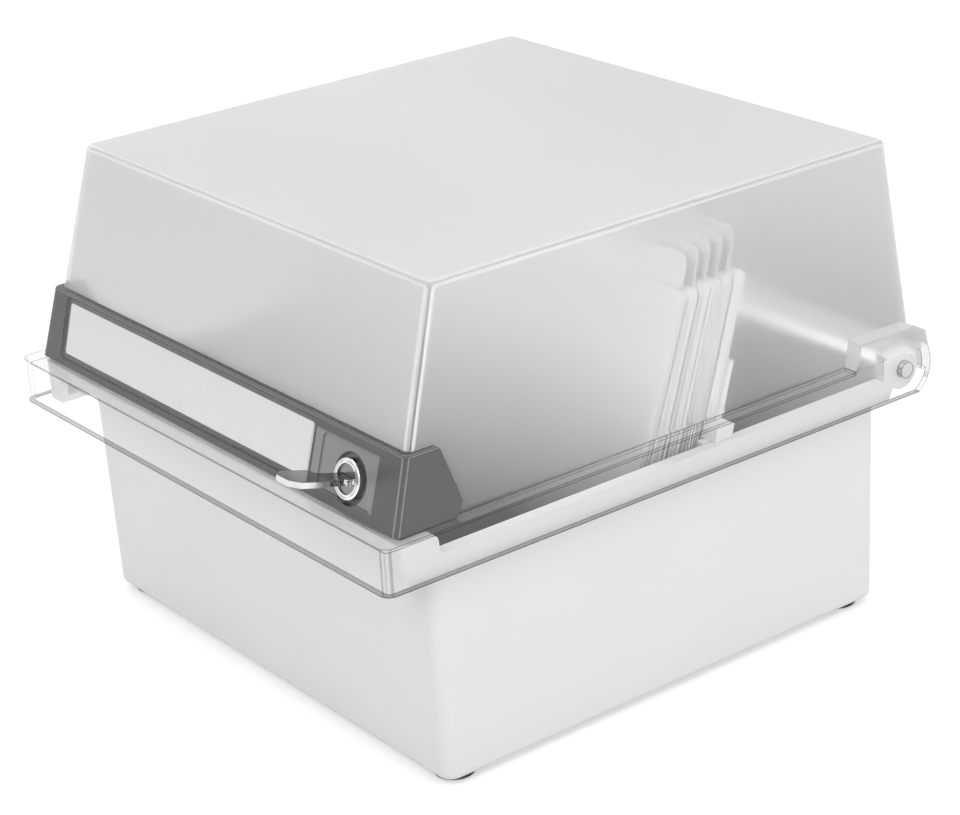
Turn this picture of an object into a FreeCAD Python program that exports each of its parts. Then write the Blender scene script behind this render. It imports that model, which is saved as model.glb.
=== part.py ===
import FreeCAD, Part
import math
import os

# Index card box for landscape A5 cards. Millimetres, +Z up, the front faces -Y.
# It is drawn about the middle of the trough, then saved with the origin on the ground
# under the middle of the whole outline, key included.

V = FreeCAD.Vector
os.makedirs("parts", exist_ok=True)

# How far a cutting block runs past the face that it opens, and how close two heights count as one
over = 1.0
far = 60.0
near = 0.01

# Cards
card_width = 210.0
card_height = 148.0
card_radius = 2.0
pack_count = 6
pack_thickness = 3.9
divider_thickness = 0.7
leaf_gap = 0.25
pack_front_y = -38.8
front_lean_angle = 18.8
back_lean_angle = 16.9
tab_width = 42.0
tab_height = 12.0
tab_radius = 5.0
tab_inset = 5.0
tab_step = 0.8

# Feet
foot_radius = 7.5
foot_height = 2.5
foot_inset = 10.5
foot_spigot_radius = 2.5
foot_spigot_height = 1.8
foot_edge_round = 0.83

# Trough
card_side_clearance = 0.7
trough_wall = 2.3
trough_floor = 2.5
trough_length = 204.6
trough_height = 90.5
trough_side_draft_angle = 0.3
trough_front_draft_angle = 1.5
trough_corner_radius = 5.5
trough_bottom_round = 2.6
rib_height = 3.0
rib_root = 0.5
rib_width = 2.0
rib_count = 5
rim_depth = 8.0
rim_step = 2.5
ledge_width = 4.5
rim_reach = 6.2
rim_front_reach = 15.3
rim_wall = 3.0
rim_corner_radius = 4.0
flare_radius = 17.0
rim_lip = 1.5
lid_rest_gap = 0.2
post_length = 15.0
post_radius = 2.5
corner_block_width = 11.0
post_end_run = 0.6
post_round_start_angle = 70.0
post_round_end_angle = 10.0
back_wall_rise = 5.0

# Ears and hinge
pivot_behind_trough = 6.0
pivot_rise = 2.7
pin_radius = 2.9
pin_clearance = 0.05
pin_end_inset = 0.2
pin_head_radius = 4.2
pin_head_length = 1.4
ear_reach = 9.3
ear_rise = 7.0
ear_round_radius = 8.0
ear_round_start_angle = 60.0
ear_round_end_angle = -125.0

# Lid
lid_wall = 2.2
dome_wall = 2.0
lid_side_clearance = 0.5
lid_front_gap = 8.5
lid_corner_radius = 4.2
skirt_height = 17.2
shelf_above_pivot = 6.7
cheek_reach = 26.6
cheek_rise = 10.0
cheek_run = 2.5
cheek_top_reach = 2.9
cheek_shoulder_reach = 9.2
cheek_shoulder_drop = 3.3
cheek_radius = 12.3
cheek_tail_angle = 19.5
cheek_low_angle = -60.0
back_wall_end_drop = 2.8
dome_inset_side = 5.7
dome_inset_front = 9.8
dome_back_reach = 8.8
dome_height = 79.5
dome_side_angle = 3.38
dome_front_angle = 15.5
dome_back_angle = 7.0
dome_corner_radius = 3.4
dome_edge_round = 3.0

# Lock strip on the front of the dome
strip_thickness = 2.3
strip_height = 26.4
strip_gap_z = 0.3
strip_side_reach = 1.84
wing_length = 11.3
wing_slant = 6.8
wing_corner_radius = 2.0
wing_round_start_angle = 75.0
wing_round_end_angle = 15.0
wing_low_cut = 3.0
wing_heel_height = 5.0
wing_heel_inset = 0.8
wing_heel_rise = 2.4
strip_corner_radius = 2.6
strip_edge_round = 1.1
label_left_inset = 13.0
label_panel_gap = 6.5
label_low_v = 4.2
label_high_v = 23.4
label_thickness = 0.4
label_corner_radius = 0.8
cover_margin = 2.2
cover_thickness = 0.9
cover_radius = 2.5
clip_count = 4
clip_radius = 2.0
clip_head_radius = 4.0
clip_head_length = 1.2
clip_v = 13.5
clip_margin = 14.0
panel_width = 31.0
panel_right_inset = 12.7
panel_low_v = 3.6
panel_high_v = 22.6
panel_depth = 0.5
panel_radius = 2.0

# Lock, along its own axis out of the leaning front
lock_inset = 26.7
lock_v = 11.3
lock_rim_radius = 7.1
lock_rim_out = 1.3
lock_rim_groove_radius = 6.1
lock_rim_groove_width = 0.5
lock_rim_groove_depth = 0.4
lock_rim_edge_round = 0.5
lock_body_radius = 6.3
lock_body_length = 21.0
lock_plug_radius = 5.2
lock_plug_inset = 0.7
lock_run_clearance = 0.05
cup_radius = 8.9
cup_depth = 2.2
cup_flange_radius = 11.0
cup_flange_length = 1.5
cup_clearance = 0.1
nut_length = 3.0
nut_width = 17.0
nut_sides = 6
cam_length = 17.0
cam_width = 8.0
cam_thickness = 1.5
cam_gap = 0.4
cam_screw_radius = 1.5
cam_screw_length = 6.0
cam_head_radius = 2.9
cam_head_length = 1.8
cam_washer_radius = 3.8
cam_washer_length = 0.6
plug_boss_radius = 3.0
cam_screw_gap = 0.2

# Catch behind the front wall
catch_beside_lock = 17.0
catch_width = 7.0
catch_thickness = 1.5
catch_drop = 47.0
catch_lip_gap = 1.6
catch_lip_length = 11.0
catch_screw_count = 2
catch_screw_pitch = 10.0
catch_screw_radius = 1.4
catch_screw_head_radius = 2.7
catch_screw_head_length = 1.5
catch_screw_depth = 1.5
catch_screw_offset = 6.0
catch_screw_seat_gap = 0.1
catch_screw_edge_round = 0.5

# Key
key_thickness = 2.0
key_blade_width = 8.2
key_blade_depth = 16.0
key_neck_length = 9.5
key_bow_length = 15.5
key_bow_width = 13.0
key_bow_offset = -1.6
key_bow_chamfer = 3.2
key_notch_count = 5
key_notch_depth = 1.0
key_slot_clearance = 0.15
key_slot_spare_depth = 0.5
key_tip_chamfer = 2.0
key_low_notch_share = 0.6
key_notch_half_share = 0.3

# Support plate
plate_thickness = 2.4
plate_rise = 25.0
plate_gap = 0.4
plate_floor_gap = 0.3
plate_side_gap = 0.5
plate_rib_count = 2
plate_rib_thickness = 2.0
plate_rib_depth = 9.0
plate_rib_spacing = 90.0
plate_rib_drop = 20.0

# Sliders at the plate's two ends
lug_side_gap = 0.05
lug_width = 6.8
lug_reach = 5.0
lug_height = 4.8
lug_slant = 0.5
lug_seat_gap = 0.1
shoe_clearance = 0.35
shoe_length = 11.0

# Sizes that follow from the ones above
trough_half = card_width / 2 + card_side_clearance + trough_wall
rim_half = trough_half + rim_reach
lid_inner_half = rim_half + lid_side_clearance
lid_half = lid_inner_half + lid_wall
trough_base_half = trough_half - math.tan(math.radians(trough_side_draft_angle)) * trough_height
trough_front_y = -trough_length / 2
trough_back_y = trough_length / 2
front_lean_out = math.tan(math.radians(trough_front_draft_angle)) * trough_height
wall_front_y = trough_front_y - front_lean_out
rim_front_y = wall_front_y - rim_front_reach
floor_z = foot_height + trough_floor
card_floor_z = floor_z + rib_height
ledge_z = foot_height + trough_height
rim_bottom_z = ledge_z - rim_depth
back_wall_top_z = ledge_z + back_wall_rise
pivot_y = trough_back_y + pivot_behind_trough
pivot_z = ledge_z + pivot_rise
ear_front_y = pivot_y - ear_reach
ear_top_z = pivot_z + ear_rise
skirt_top_z = pivot_z + shelf_above_pivot
skirt_bottom_z = skirt_top_z - skirt_height
lid_front_y = rim_front_y - lid_front_gap
cheek_front_y = pivot_y - cheek_reach
cheek_top_z = skirt_top_z + cheek_rise
cheek_top_end_y = pivot_y + cheek_top_reach
cheek_shoulder_y = pivot_y + cheek_shoulder_reach
cheek_shoulder_z = cheek_top_z - cheek_shoulder_drop
back_wall_end_z = pivot_z - back_wall_end_drop
dome_half = lid_half - dome_inset_side
panel_right_x = dome_half - panel_right_inset
panel_left_x = panel_right_x - panel_width
label_left_x = label_left_inset - dome_half
label_right_x = panel_left_x - label_panel_gap
lock_x = dome_half - lock_inset
catch_x = lock_x - catch_beside_lock
dome_front_y = lid_front_y + dome_inset_front
dome_back_y = pivot_y + dome_back_reach
dome_top_z = skirt_top_z + dome_height
dome_side_slope = math.tan(math.radians(dome_side_angle))
dome_front_slope = math.tan(math.radians(dome_front_angle))
dome_back_slope = math.tan(math.radians(dome_back_angle))
catch_foot_z = ledge_z - catch_drop
plate_top_z = ledge_z + plate_rise
strip_lean = math.radians(dome_front_angle)
strip_out = V(0, -math.cos(strip_lean), math.sin(strip_lean))
strip_up = V(0, math.sin(strip_lean), math.cos(strip_lean))
strip_across = V(1, 0, 0)
strip_origin = V(0, dome_front_y, skirt_top_z) + strip_out * strip_thickness
lock_origin = strip_origin + strip_across * lock_x + strip_up * lock_v
shelf_z = skirt_top_z - lid_wall
post_top_z = shelf_z - lid_rest_gap
flare_end_z = post_top_z - trough_wall - rim_lip
leaf_count = 2 * pack_count - 1
flare_half = rim_half - corner_block_width
inner_half = trough_half - trough_wall


def box(x0, x1, y0, y1, z0, z1):
    """A block between two corners."""
    return Part.makeBox(x1 - x0, y1 - y0, z1 - z0, V(x0, y0, z0))


def rounded_wire(x0, x1, y0, y1, z, radius):
    """A closed rounded rectangle at height z."""
    r = radius
    k = r * (1 - math.sqrt(0.5))
    edges = [
        Part.makeLine(V(x0 + r, y0, z), V(x1 - r, y0, z)),
        Part.Arc(V(x1 - r, y0, z), V(x1 - k, y0 + k, z), V(x1, y0 + r, z)).toShape(),
        Part.makeLine(V(x1, y0 + r, z), V(x1, y1 - r, z)),
        Part.Arc(V(x1, y1 - r, z), V(x1 - k, y1 - k, z), V(x1 - r, y1, z)).toShape(),
        Part.makeLine(V(x1 - r, y1, z), V(x0 + r, y1, z)),
        Part.Arc(V(x0 + r, y1, z), V(x0 + k, y1 - k, z), V(x0, y1 - r, z)).toShape(),
        Part.makeLine(V(x0, y1 - r, z), V(x0, y0 + r, z)),
        Part.Arc(V(x0, y0 + r, z), V(x0 + k, y0 + k, z), V(x0 + r, y0, z)).toShape(),
    ]
    return Part.Wire(edges)


def rounded_prism(x0, x1, y0, y1, z0, z1, radius):
    """A block with rounded upright edges."""
    face = Part.Face(rounded_wire(x0, x1, y0, y1, z0, radius))
    return face.extrude(V(0, 0, z1 - z0))


def loft(low, high):
    """A solid between two wires of the same form."""
    return Part.makeLoft([low, high], True, True)


def side_profile(points, x0, x1):
    """Extrudes a closed line of (y, z) points from x0 to x1."""
    wire = Part.makePolygon([V(x0, y, z) for y, z in points + points[:1]])
    return Part.Face(wire).extrude(V(x1 - x0, 0, 0))


def disc(centre, radius, length, direction):
    """A round bar from its centre along a direction."""
    return Part.makeCylinder(radius, length, centre, direction)


def arc_points(cy, cz, radius, start, end, count):
    """Points on an arc in the side view, angles in degrees."""
    step = (end - start) / (count - 1)
    angles = [math.radians(start + step * i) for i in range(count)]
    return [(cy + radius * math.cos(a), cz + radius * math.sin(a)) for a in angles]


def on_strip(x, v, out=0.0):
    """A point on the strip's leaning front."""
    return strip_origin + strip_across * x + strip_up * v + strip_out * out


def on_lock(across, up, out):
    """A point in the lock's own frame."""
    return lock_origin + strip_across * across + strip_up * up + strip_out * out


def leaning_prism(corners, out0, out1):
    """Extrudes (x, v) corners of the leaning front from one depth to another."""
    wire = Part.makePolygon([on_strip(x, v, out0) for x, v in corners + corners[:1]])
    return Part.Face(wire).extrude(strip_out * (out1 - out0))


def rounded_corners(x0, x1, v0, v1, radius, steps=5):
    """Corners of a rounded rectangle on the leaning front."""
    centres = [(x1 - radius, v0 + radius, -90), (x1 - radius, v1 - radius, 0),
               (x0 + radius, v1 - radius, 90), (x0 + radius, v0 + radius, 180)]
    corners = []
    for cx, cv, start in centres:
        for x, v in arc_points(cx, cv, radius, start, start + 90, steps):
            corners.append((x, v))
    return corners


def edges_where(shape, test):
    """The edges that pass a test, for a fillet."""
    return [edge for edge in shape.Edges if test(edge)]


def origin_shift():
    """Moves the middle of the whole outline, key to hinge, over the origin."""
    bow_end = lock_rim_out - lock_plug_inset + key_neck_length + key_bow_length
    key_end_y = on_lock(0, -key_thickness / 2, bow_end).y
    lid_back_y = pivot_y + cheek_radius
    return V(0, -(key_end_y + lid_back_y) / 2, 0)


def save(shape, name):
    shape = shape.translated(origin_shift())
    solids = shape.Solids
    shape = solids[0] if len(solids) == 1 else shape
    shape.exportStep("parts/" + name + ".step")
    print(name, len(solids), round(shape.Volume, 1), shape.isValid())


def trough_rim_profile():
    """Side view of the rim: front post, ledge and ear."""
    front = rim_front_y
    post_end = front + post_length
    points = [(front, rim_bottom_z), (front, post_top_z), (post_end - post_radius, post_top_z)]
    points += arc_points(post_end - post_radius, post_top_z - post_radius, post_radius,
                         post_round_start_angle, post_round_end_angle, 4)
    points += [(post_end + post_end_run, ledge_z), (ear_front_y, ledge_z), (ear_front_y, ear_top_z)]
    points += arc_points(pivot_y, pivot_z, ear_round_radius, ear_round_start_angle, ear_round_end_angle, 14)
    points += [(trough_back_y - trough_wall / 4, rim_bottom_z)]
    return points


def trough_flare(offset):
    """Side view of the front wall's flare, moved inwards by an offset."""
    radius = flare_radius + offset
    reach = wall_front_y - rim_front_y
    centre_y = wall_front_y - flare_radius
    angle = math.degrees(math.acos((flare_radius - reach) / flare_radius))
    centre_z = flare_end_z - flare_radius * math.sin(math.radians(angle))
    curve = arc_points(centre_y, centre_z, radius, 0, angle, 9)
    end_y = rim_front_y + offset
    curve = [(y, z) for y, z in curve if y > end_y + near]
    return curve + [(end_y, curve[-1][1])], end_y


def trough_body():
    """The outer form of the trough, narrower at its foot."""
    low = rounded_wire(-trough_base_half, trough_base_half, trough_front_y, trough_back_y,
                       foot_height, trough_corner_radius)
    high = rounded_wire(-trough_half, trough_half, wall_front_y, trough_back_y,
                        ledge_z, trough_corner_radius)
    body = loft(low, high)
    bottom = edges_where(body, lambda e: e.BoundBox.ZMax < foot_height + near)
    return body.makeFillet(trough_bottom_round, bottom)


def trough_rim():
    """The rim with its posts and ears, open at the back and between the front posts."""
    low = rim_bottom_z - over
    high = ear_top_z + over
    plan = rounded_prism(-rim_half, rim_half, rim_front_y, pivot_y + far, low, high, rim_corner_radius)
    rim = side_profile(trough_rim_profile(), -rim_half, rim_half).common(plan)
    ear_inner = rim_half - ledge_width
    behind = box(-ear_inner, ear_inner, trough_back_y, trough_back_y + far, low, high)
    between = box(-flare_half, flare_half, rim_front_y - over, trough_front_y, low, high)
    return rim.cut(behind).cut(between)


def front_flare():
    """The curve from the front wall out to the edge between the posts."""
    curve, end_y = trough_flare(0.0)
    deep_y = trough_front_y + trough_wall / 2
    points = [(deep_y, curve[0][1])] + curve + [(end_y, post_top_z), (deep_y, post_top_z)]
    return side_profile(points, -flare_half, flare_half)


def trough_room():
    """Everything that is open inside the trough: the card space, the rails and the flare's pocket."""
    high = ear_top_z + over
    inner_base = trough_base_half - trough_wall
    inner_radius = trough_corner_radius - trough_wall
    front = trough_front_y + trough_wall
    top_front = wall_front_y + trough_wall
    back = trough_back_y - trough_wall
    inner = loft(rounded_wire(-inner_base, inner_base, front, back, floor_z, inner_radius),
                 rounded_wire(-inner_half, inner_half, top_front, back, ledge_z, inner_radius))
    above = box(-inner_half, inner_half, top_front, back, ledge_z - over, high)
    rail_half = rim_half - ledge_width
    rails = box(-rail_half, rail_half, rim_front_y + rim_wall, trough_back_y, rim_bottom_z + rim_step, high)
    curve, end_y = trough_flare(trough_wall)
    pocket_half = flare_half - trough_wall
    pocket = side_profile(curve + [(end_y, high), (curve[0][0], high)], -pocket_half, pocket_half)
    return [inner, above, rails, pocket]


def make_trough():
    shape = trough_body().fuse([trough_rim(), front_flare()])
    for room in trough_room():
        shape = shape.cut(room)
    rail_half = rim_half - ledge_width
    shape = shape.fuse(box(-rail_half, rail_half, trough_back_y - trough_wall, trough_back_y,
                           rim_bottom_z, back_wall_top_z))
    spacing = card_width / rib_count
    middle_y = trough_wall / 2
    for i in range(rib_count):
        x = spacing * (i - (rib_count - 1) / 2)
        shape = shape.fuse(box(x - rib_width / 2, x + rib_width / 2, trough_front_y + middle_y,
                               trough_back_y - middle_y, floor_z - rib_root, card_floor_z))
    for side in (-1, 1):
        out = V(side, 0, 0)
        start = V(side * rail_half, pivot_y, pivot_z) - out * over
        shape = shape.cut(disc(start, pin_radius, ledge_width + 2 * over, out))
        for y in (trough_front_y + foot_inset, trough_back_y - foot_inset):
            centre = V(side * (trough_base_half - foot_inset), y, foot_height)
            shape = shape.cut(disc(centre, foot_spigot_radius, foot_spigot_height, V(0, 0, 1)))
    for z in catch_screw_heights():
        start = V(catch_x, catch_face_y(z) + over, z)
        shape = shape.cut(disc(start, catch_screw_radius, catch_screw_depth + over, V(0, -1, 0)))
    return shape.removeSplitter()


def make_foot(side, y):
    centre = V(side * (trough_base_half - foot_inset), y, 0)
    pad = disc(centre, foot_radius, foot_height, V(0, 0, 1))
    ring = edges_where(pad, lambda e: e.BoundBox.ZMax < near)
    pad = pad.makeFillet(foot_edge_round, ring)
    spigot = disc(centre + V(0, 0, foot_height), foot_spigot_radius, foot_spigot_height, V(0, 0, 1))
    return pad.fuse(spigot).removeSplitter()


def make_hinge_pin(side):
    inner = side * (rim_half - ledge_width)
    outer = side * (lid_half - pin_end_inset)
    out = V(side, 0, 0)
    shaft = disc(V(inner, pivot_y, pivot_z), pin_radius, abs(outer - inner), out)
    head = disc(V(inner, pivot_y, pivot_z), pin_head_radius, pin_head_length, out * -1)
    return shaft.fuse(head).removeSplitter()


def catch_face_y(z):
    """The inner face of the trough's front wall at a height."""
    share = (z - floor_z) / (ledge_z - floor_z)
    return trough_front_y + trough_wall - front_lean_out * share


def catch_screw_heights():
    return [catch_foot_z + catch_screw_offset + catch_screw_pitch * i for i in range(catch_screw_count)]


def cam_plane_centre():
    return on_lock(0, 0, -lock_body_length - cam_gap - cam_thickness / 2)


def make_catch():
    x0 = catch_x - catch_width / 2
    x1 = catch_x + catch_width / 2
    centre = cam_plane_centre()
    lip_z = centre.z + cam_width / 2 + catch_lip_gap
    low_y = catch_face_y(catch_foot_z)
    high_y = catch_face_y(lip_z)
    t = catch_thickness
    lip_end = high_y + catch_lip_length
    points = [(low_y, catch_foot_z), (high_y, lip_z + t), (lip_end, lip_z + t), (lip_end, lip_z),
              (high_y + t, lip_z), (low_y + t, catch_foot_z)]
    shape = side_profile(points, x0, x1)
    for z in catch_screw_heights():
        start = V(catch_x, catch_face_y(z) - over, z)
        shape = shape.cut(disc(start, catch_screw_radius, catch_thickness + 3 * over, V(0, 1, 0)))
    return shape


def make_catch_screw(z):
    face = catch_face_y(z) + catch_thickness + catch_screw_seat_gap
    shaft = disc(V(catch_x, face - catch_thickness - catch_screw_depth, z), catch_screw_radius,
                 catch_thickness + catch_screw_depth, V(0, 1, 0))
    head = disc(V(catch_x, face, z), catch_screw_head_radius, catch_screw_head_length, V(0, 1, 0))
    rim = edges_where(head, lambda e: e.BoundBox.YMin > face + catch_screw_head_length - near)
    head = head.makeFillet(catch_screw_edge_round, rim)
    return shaft.fuse(head).removeSplitter()


def skirt_profile(offset):
    """Side view of the skirt with its raised cheek, moved inwards by an offset."""
    o = offset
    tail = arc_points(pivot_y, pivot_z, cheek_radius - o, cheek_tail_angle, cheek_low_angle, 9)
    low = skirt_bottom_z if o == 0 else skirt_bottom_z - over
    points = [(lid_front_y + o, low), (lid_front_y + o, skirt_top_z - o),
              (cheek_front_y + o, skirt_top_z - o), (cheek_front_y + cheek_run + o, cheek_top_z - o),
              (cheek_top_end_y - o / 2, cheek_top_z - o), (cheek_shoulder_y - o, cheek_shoulder_z - o / 2)]
    points += tail
    points += [(tail[-1][0], low)]
    return points


def dome_wires(inset, base_z, top_z):
    """Base and top wires of the dome, moved inwards by an inset."""
    wires = []
    for z in (base_z, top_z):
        rise = z - skirt_top_z
        half = dome_half - dome_side_slope * rise - inset
        front = dome_front_y + dome_front_slope * rise + inset
        back = dome_back_y - dome_back_slope * rise - inset
        radius = max(dome_corner_radius - inset, dome_corner_radius / 3)
        wires.append(rounded_wire(-half, half, front, back, z, radius))
    return wires


def dome_solid(inset, base_z, top_z, round_radius):
    solid = loft(*dome_wires(inset, base_z, top_z))
    top = edges_where(solid, lambda e: e.BoundBox.ZMin > top_z - near)
    return solid.makeFillet(round_radius, top)


def make_lid_shell():
    back_end = pivot_y + cheek_radius
    plan = rounded_prism(-lid_half, lid_half, lid_front_y, back_end + far,
                         skirt_bottom_z - over, cheek_top_z + over, lid_corner_radius)
    skirt = side_profile(skirt_profile(0), -lid_half, lid_half).common(plan)
    outer = skirt.fuse(dome_solid(0, shelf_z + lid_wall / 2, dome_top_z, dome_edge_round))

    inner_plan = rounded_prism(-lid_inner_half, lid_inner_half, lid_front_y + lid_wall, back_end + far,
                               skirt_bottom_z - 2 * over, cheek_top_z, lid_corner_radius - lid_wall)
    room = side_profile(skirt_profile(lid_wall), -lid_inner_half, lid_inner_half).common(inner_plan)
    dome_room = dome_solid(dome_wall, shelf_z - lid_wall, dome_top_z - dome_wall, dome_edge_round - dome_wall)
    way_out = box(-lid_inner_half, lid_inner_half, pivot_y, back_end + far,
                  skirt_bottom_z - over, back_wall_end_z)
    shape = outer.cut(room).cut(dome_room).cut(way_out)
    for side in (-1, 1):
        out = V(side, 0, 0)
        start = V(side * lid_inner_half, pivot_y, pivot_z) - out * over
        shape = shape.cut(disc(start, pin_radius + pin_clearance, lid_wall + 2 * over, out))
    shape = shape.cut(lock_hole())
    for x in clip_places():
        start = on_strip(x, clip_v, -dome_inner_depth() - 2 * over)
        shape = shape.cut(disc(start, clip_radius, dome_wall + 3 * over, strip_out))
    return shape.removeSplitter()


def dome_inner_depth():
    """How far the dome's inner face lies behind the strip's front."""
    return strip_thickness + dome_wall * math.cos(strip_lean)


def lock_hole():
    """The round hole through the dome and the strip for the lock's cup."""
    depth = dome_inner_depth() + 2 * over
    return disc(on_lock(0, 0, -depth), cup_radius + cup_clearance, depth + over, strip_out)


def clip_places():
    span = label_right_x - label_left_x - 2 * clip_margin
    return [label_left_x + clip_margin + span * i / (clip_count - 1) for i in range(clip_count)]


def strip_block():
    """The strip before its front is worked: it follows the dome's front and its two corners."""
    z0 = skirt_top_z + strip_gap_z
    z1 = skirt_top_z + strip_height
    grow = strip_thickness / math.cos(strip_lean)
    wires = []
    for z in (z0, z1):
        rise = z - skirt_top_z
        half = dome_half + strip_side_reach - dome_side_slope * rise
        front = dome_front_y - grow + dome_front_slope * rise
        wires.append(rounded_wire(-half, half, front, 0, z, strip_corner_radius))
    block = loft(*wires)
    top = edges_where(block, lambda e: e.BoundBox.ZMin > z1 - near)
    return block.makeFillet(strip_edge_round, top)


def strip_side_view():
    """The strip seen from the side, with the slanted end of its wings."""
    z0 = skirt_top_z + strip_gap_z
    z1 = skirt_top_z + strip_height
    r = wing_corner_radius
    top_end = dome_front_y + dome_front_slope * strip_height + wing_length
    low_end = top_end + wing_slant
    points = [(lid_front_y, z0), (lid_front_y, z1), (top_end - r, z1)]
    points += arc_points(top_end - r, z1 - r, r, wing_round_start_angle, wing_round_end_angle, 3)
    points += [(low_end, z0 + wing_heel_height), (low_end - wing_heel_inset, z0 + wing_heel_rise),
               (low_end - wing_low_cut, z0)]
    return side_profile(points, -lid_half, lid_half)


def window_corners(margin, radius):
    """Corners of the label window, widened by a margin."""
    return rounded_corners(label_left_x - margin, label_right_x + margin, label_low_v - margin,
                           label_high_v + margin, radius)


def make_strip():
    block = strip_block().common(strip_side_view())
    block = block.cut(dome_solid(0, shelf_z, dome_top_z, dome_edge_round))
    cover = leaning_prism(window_corners(cover_margin, cover_radius), -cover_thickness, over)
    card = leaning_prism(window_corners(0, label_corner_radius), -cover_thickness - label_thickness, 0)
    panel_corners = rounded_corners(panel_left_x, panel_right_x, panel_low_v, panel_high_v, panel_radius)
    panel = leaning_prism(panel_corners, -panel_depth, over)
    return block.cut(cover).cut(card).cut(panel).cut(lock_hole()).removeSplitter()


def make_label_card():
    low = -cover_thickness - label_thickness
    return leaning_prism(window_corners(0, label_corner_radius), low, -cover_thickness)


def make_label_cover():
    return leaning_prism(window_corners(cover_margin, cover_radius), -cover_thickness, 0)


def make_clip(x):
    """A push clip that holds the strip from inside the dome."""
    depth = strip_thickness + dome_wall / math.cos(strip_lean)
    stem = disc(on_strip(x, clip_v, -depth), clip_radius, depth - strip_thickness, strip_out)
    head = disc(on_strip(x, clip_v, -depth), clip_head_radius, clip_head_length, strip_out * -1)
    return stem.fuse(head).removeSplitter()


def make_lock_cup():
    back = -dome_inner_depth()
    dish = disc(on_lock(0, 0, back), cup_radius, -cup_depth - back, strip_out)
    flange = disc(on_lock(0, 0, back - cup_flange_length), cup_flange_radius, cup_flange_length, strip_out)
    bore = disc(on_lock(0, 0, back - cup_flange_length - over), lock_body_radius, far, strip_out)
    return dish.fuse(flange).cut(bore).removeSplitter()


def make_lock_body():
    barrel = disc(on_lock(0, 0, -lock_body_length), lock_body_radius, lock_body_length - cup_depth, strip_out)
    rim = disc(on_lock(0, 0, -cup_depth), lock_rim_radius, cup_depth + lock_rim_out, strip_out)
    top = edges_where(rim, lambda e: len(e.Vertexes) == 1 and
                      (e.CenterOfMass - on_lock(0, 0, lock_rim_out)).Length < near)
    rim = rim.makeFillet(lock_rim_edge_round, top)
    groove_low = on_lock(0, 0, lock_rim_out - lock_rim_groove_depth)
    groove = disc(groove_low, lock_rim_groove_radius + lock_rim_groove_width / 2, over, strip_out)
    groove = groove.cut(disc(groove_low, lock_rim_groove_radius - lock_rim_groove_width / 2, over, strip_out))
    bore = disc(on_lock(0, 0, -lock_body_length - over), lock_plug_radius + lock_run_clearance,
                far, strip_out)
    return barrel.fuse(rim).cut(groove).cut(bore).removeSplitter()


def make_lock_nut():
    back = -dome_inner_depth() - cup_flange_length
    turn = 2 * math.pi / nut_sides
    radius = nut_width / 2 / math.cos(turn / 2)
    corners = [(radius * math.cos(turn * i), radius * math.sin(turn * i)) for i in range(nut_sides)]
    wire = Part.makePolygon([on_lock(x, v, back - nut_length) for x, v in corners + corners[:1]])
    nut = Part.Face(wire).extrude(strip_out * nut_length)
    return nut.cut(disc(on_lock(0, 0, back - nut_length - over), lock_body_radius, far, strip_out))


def make_lock_plug():
    face = lock_rim_out - lock_plug_inset
    core = disc(on_lock(0, 0, -lock_body_length), lock_plug_radius, lock_body_length + face, strip_out)
    tail_length = cam_gap + cam_thickness + cam_screw_gap
    tail = disc(on_lock(0, 0, -lock_body_length - tail_length), plug_boss_radius, tail_length, strip_out)
    half = key_blade_width / 2 + key_slot_clearance
    thick = key_thickness / 2 + key_slot_clearance
    corners = [(-half, -thick), (half, -thick), (half, thick), (-half, thick)]
    depth = face - key_blade_depth - key_slot_spare_depth
    wire = Part.makePolygon([on_lock(x, v, depth) for x, v in corners + corners[:1]])
    slot = Part.Face(wire).extrude(strip_out * far)
    thread = disc(on_lock(0, 0, -lock_body_length - tail_length), cam_screw_radius,
                  cam_screw_length - cam_washer_length, strip_out)
    return core.fuse(tail).cut(slot).cut(thread).removeSplitter()


def cam_back():
    return -lock_body_length - cam_gap - cam_thickness


def make_lock_cam():
    """The flat tongue, pointing down while the lid is free."""
    back = cam_back()
    half = cam_width / 2
    centre = on_lock(0, 0, back)
    arm_wire = Part.makePolygon([on_lock(x, v, back) for x, v in
                                 [(-half, 0), (half, 0), (half, -cam_length + half), (half / 2, -cam_length),
                                  (-half / 2, -cam_length), (-half, -cam_length + half), (-half, 0)]])
    arm = Part.Face(arm_wire).extrude(strip_out * cam_thickness)
    hub = disc(centre, half, cam_thickness, strip_out)
    hole = disc(on_lock(0, 0, back - over), plug_boss_radius, cam_thickness + 2 * over, strip_out)
    return arm.fuse(hub).cut(hole).removeSplitter()


def make_cam_washer():
    back = cam_back() - cam_screw_gap
    ring = disc(on_lock(0, 0, back), cam_washer_radius, cam_washer_length, strip_out * -1)
    hole_start = on_lock(0, 0, back - cam_washer_length - over)
    return ring.cut(disc(hole_start, cam_screw_radius, cam_washer_length + 2 * over, strip_out))


def make_cam_screw():
    seat = cam_back() - cam_screw_gap - cam_washer_length
    stem = disc(on_lock(0, 0, seat), cam_screw_radius, cam_screw_length, strip_out)
    head = disc(on_lock(0, 0, seat), cam_head_radius, cam_head_length, strip_out * -1)
    return stem.fuse(head).removeSplitter()


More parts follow.
